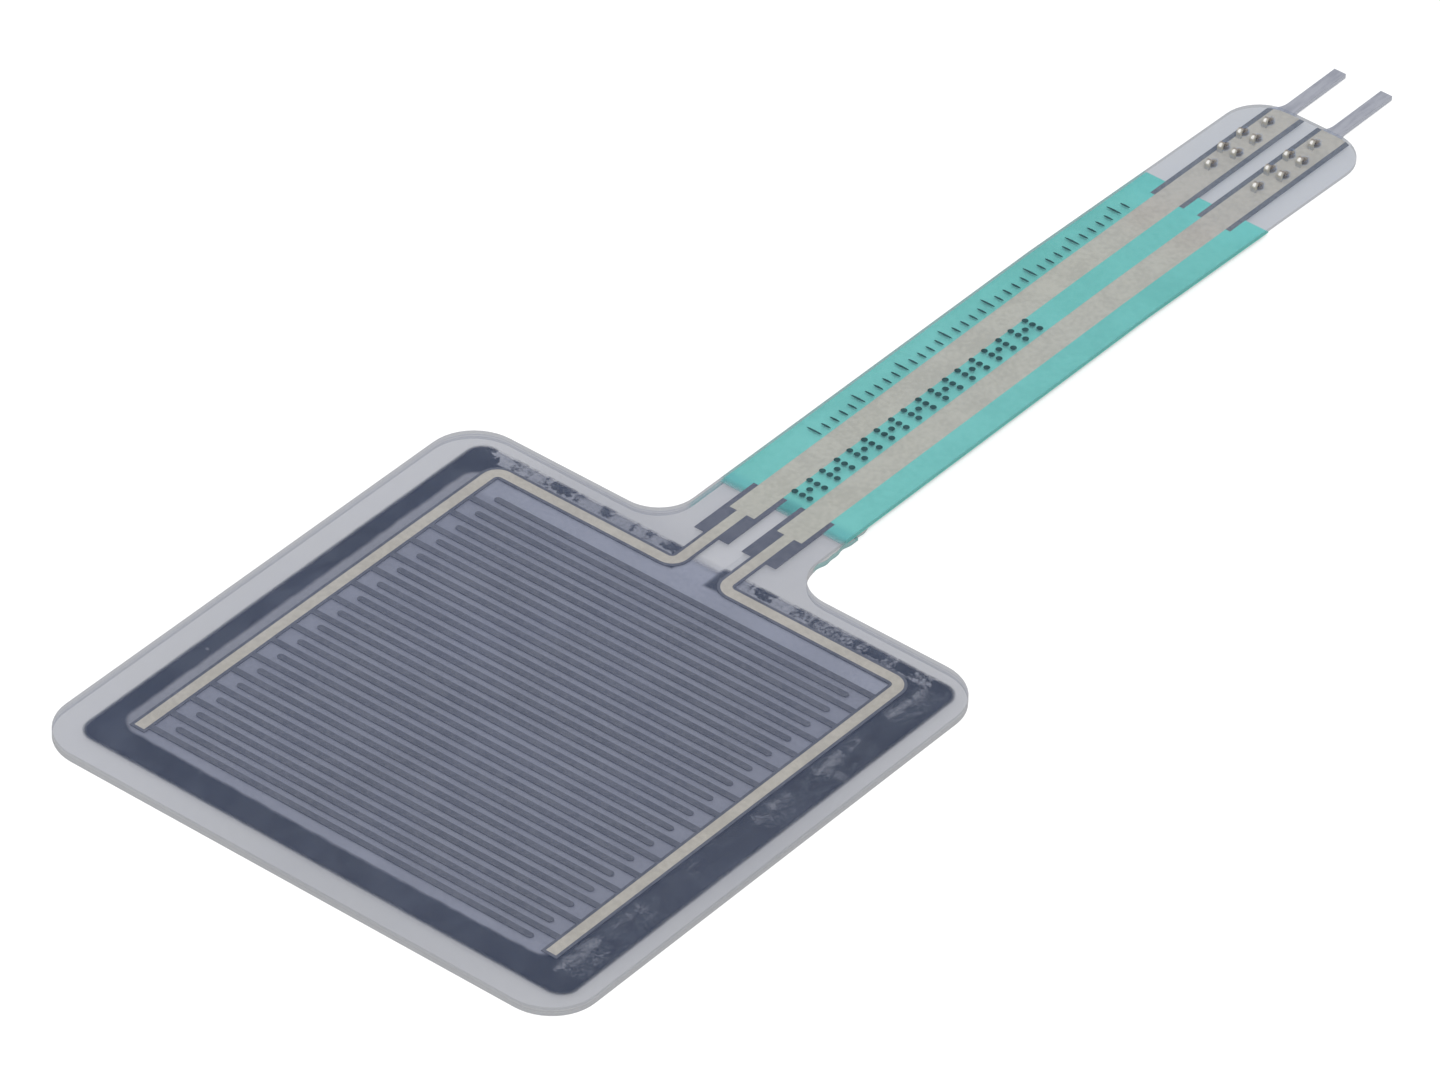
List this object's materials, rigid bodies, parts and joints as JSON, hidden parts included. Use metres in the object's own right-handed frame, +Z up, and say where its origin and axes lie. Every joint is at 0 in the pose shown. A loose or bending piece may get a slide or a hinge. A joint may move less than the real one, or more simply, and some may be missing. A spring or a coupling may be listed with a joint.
{
  "type": "force sensing resistor",
  "caption": "Flat square force sensing resistor of printed clear films, with a narrow flex tail and solder pins.",
  "frame": {"origin": "centre of the square head, on its underside", "axes": "+Z up out of the pressed face, +Y along the tail towards the pins, +X to the right"},
  "size_m": [0.028, 0.0731, 0.0007],
  "materials": {
    "film": "clear, satin",
    "adhesive": "clear",
    "resistive_ink": "matte",
    "silver_ink": "matte",
    "carbon_ink": "matte",
    "dielectric_ink": "satin",
    "terminal_metal": "tinned, satin"
  },
  "bodies": {
    "root": {"lower_film": "film", "upper_film": "film", "spacer_adhesive": "adhesive", "resistive_ink": "resistive_ink", "left_silver_trace": "silver_ink", "right_silver_trace": "silver_ink", "left_carbon_comb": "carbon_ink", "right_carbon_comb": "carbon_ink", "left_pad_carbon": "carbon_ink", "right_pad_carbon": "carbon_ink", "dielectric_print": "dielectric_ink", "left_terminal": "terminal_metal", "right_terminal": "terminal_metal"}
  },
  "joints": []
}
